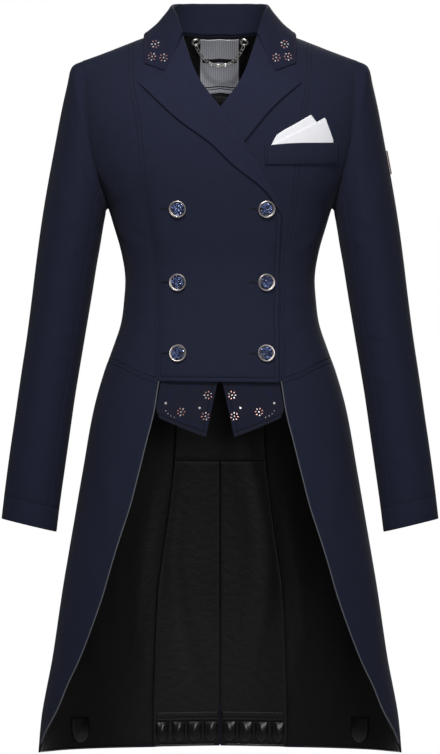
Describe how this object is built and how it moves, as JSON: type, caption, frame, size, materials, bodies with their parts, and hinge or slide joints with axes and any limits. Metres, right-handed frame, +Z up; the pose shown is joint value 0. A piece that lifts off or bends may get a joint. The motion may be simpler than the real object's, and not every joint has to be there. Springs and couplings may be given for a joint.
{
  "type": "dressage tailcoat",
  "caption": "Cut-away riding tailcoat in its worn shape, with notched lapels, buttoned front, long tails with weights, and a hanger chain at the neck.",
  "frame": {"origin": "on the centre line at shoulder level, where the wearer's shoulders carry the coat", "axes": "+X to the wearer's left, -Y to the front, +Z up"},
  "size_m": [0.602, 0.2647, 1.0352],
  "materials": {
    "shell_cloth": "midnight navy wool-blend suiting, fine matt twill",
    "lining_satin": "black satin lining",
    "label_satin": "silver-grey satin ribbon",
    "size_label": "black satin ribbon",
    "weight_cover": "glossy black coated cover",
    "button_metal": "polished rose-gold plate with a dark blue crystal centre",
    "silver_metal": "polished silver plate",
    "badge_metal": "brushed rose-gold plate",
    "square_cotton": "fine white cotton, pressed"
  },
  "bodies": {
    "coat": {"back_L": "shell_cloth", "back_R": "shell_cloth", "breast_welt": "shell_cloth", "button_inner_1": "button_metal", "button_inner_2": "button_metal", "button_inner_3": "button_metal", "button_outer_1": "button_metal", "button_outer_2": "button_metal", "button_outer_3": "button_metal", "collar": "shell_cloth", "corner_pouch_L": "weight_cover", "corner_pouch_R": "weight_cover", "eyelet_L": "silver_metal", "eyelet_R": "silver_metal", "front_L": "shell_cloth", "front_R": "shell_cloth", "lapel_L": "shell_cloth", "lapel_R": "shell_cloth", "lining_back": "lining_satin", "lining_tail_back_L": "lining_satin", "lining_tail_back_R": "lining_satin", "lining_tail_side_L": "lining_satin", "lining_tail_side_R": "lining_satin", "neck_label": "label_satin", "pocket_square": "square_cotton", "side_back_L": "shell_cloth", "side_back_R": "shell_cloth", "side_front_L": "shell_cloth", "side_front_R": "shell_cloth", "size_label": "size_label", "sleeve_badge": "badge_metal", "tail_side_L": "shell_cloth", "tail_side_R": "shell_cloth", "top_sleeve_L": "shell_cloth", "top_sleeve_R": "shell_cloth", "under_sleeve_L": "shell_cloth", "under_sleeve_R": "shell_cloth", "vest_point_L": "shell_cloth", "vest_point_R": "shell_cloth", "weight_pouch_1_L": "weight_cover", "weight_pouch_1_R": "weight_cover", "weight_pouch_2_L": "weight_cover", "weight_pouch_2_R": "weight_cover", "weight_pouch_3_L": "weight_cover", "weight_pouch_3_R": "weight_cover", "weight_pouch_4_L": "weight_cover", "weight_pouch_4_R": "weight_cover"},
    "hanger_chain": {"hanger_chain": "silver_metal"}
  },
  "joints": [
    {"name": "chain_swing", "type": "hinge", "parent": "coat", "child": "hanger_chain", "pos_m": [0, 0.05455, 0.00401], "axis": [-1, 0, 0], "range_deg": [-30, 115]}
  ]
}
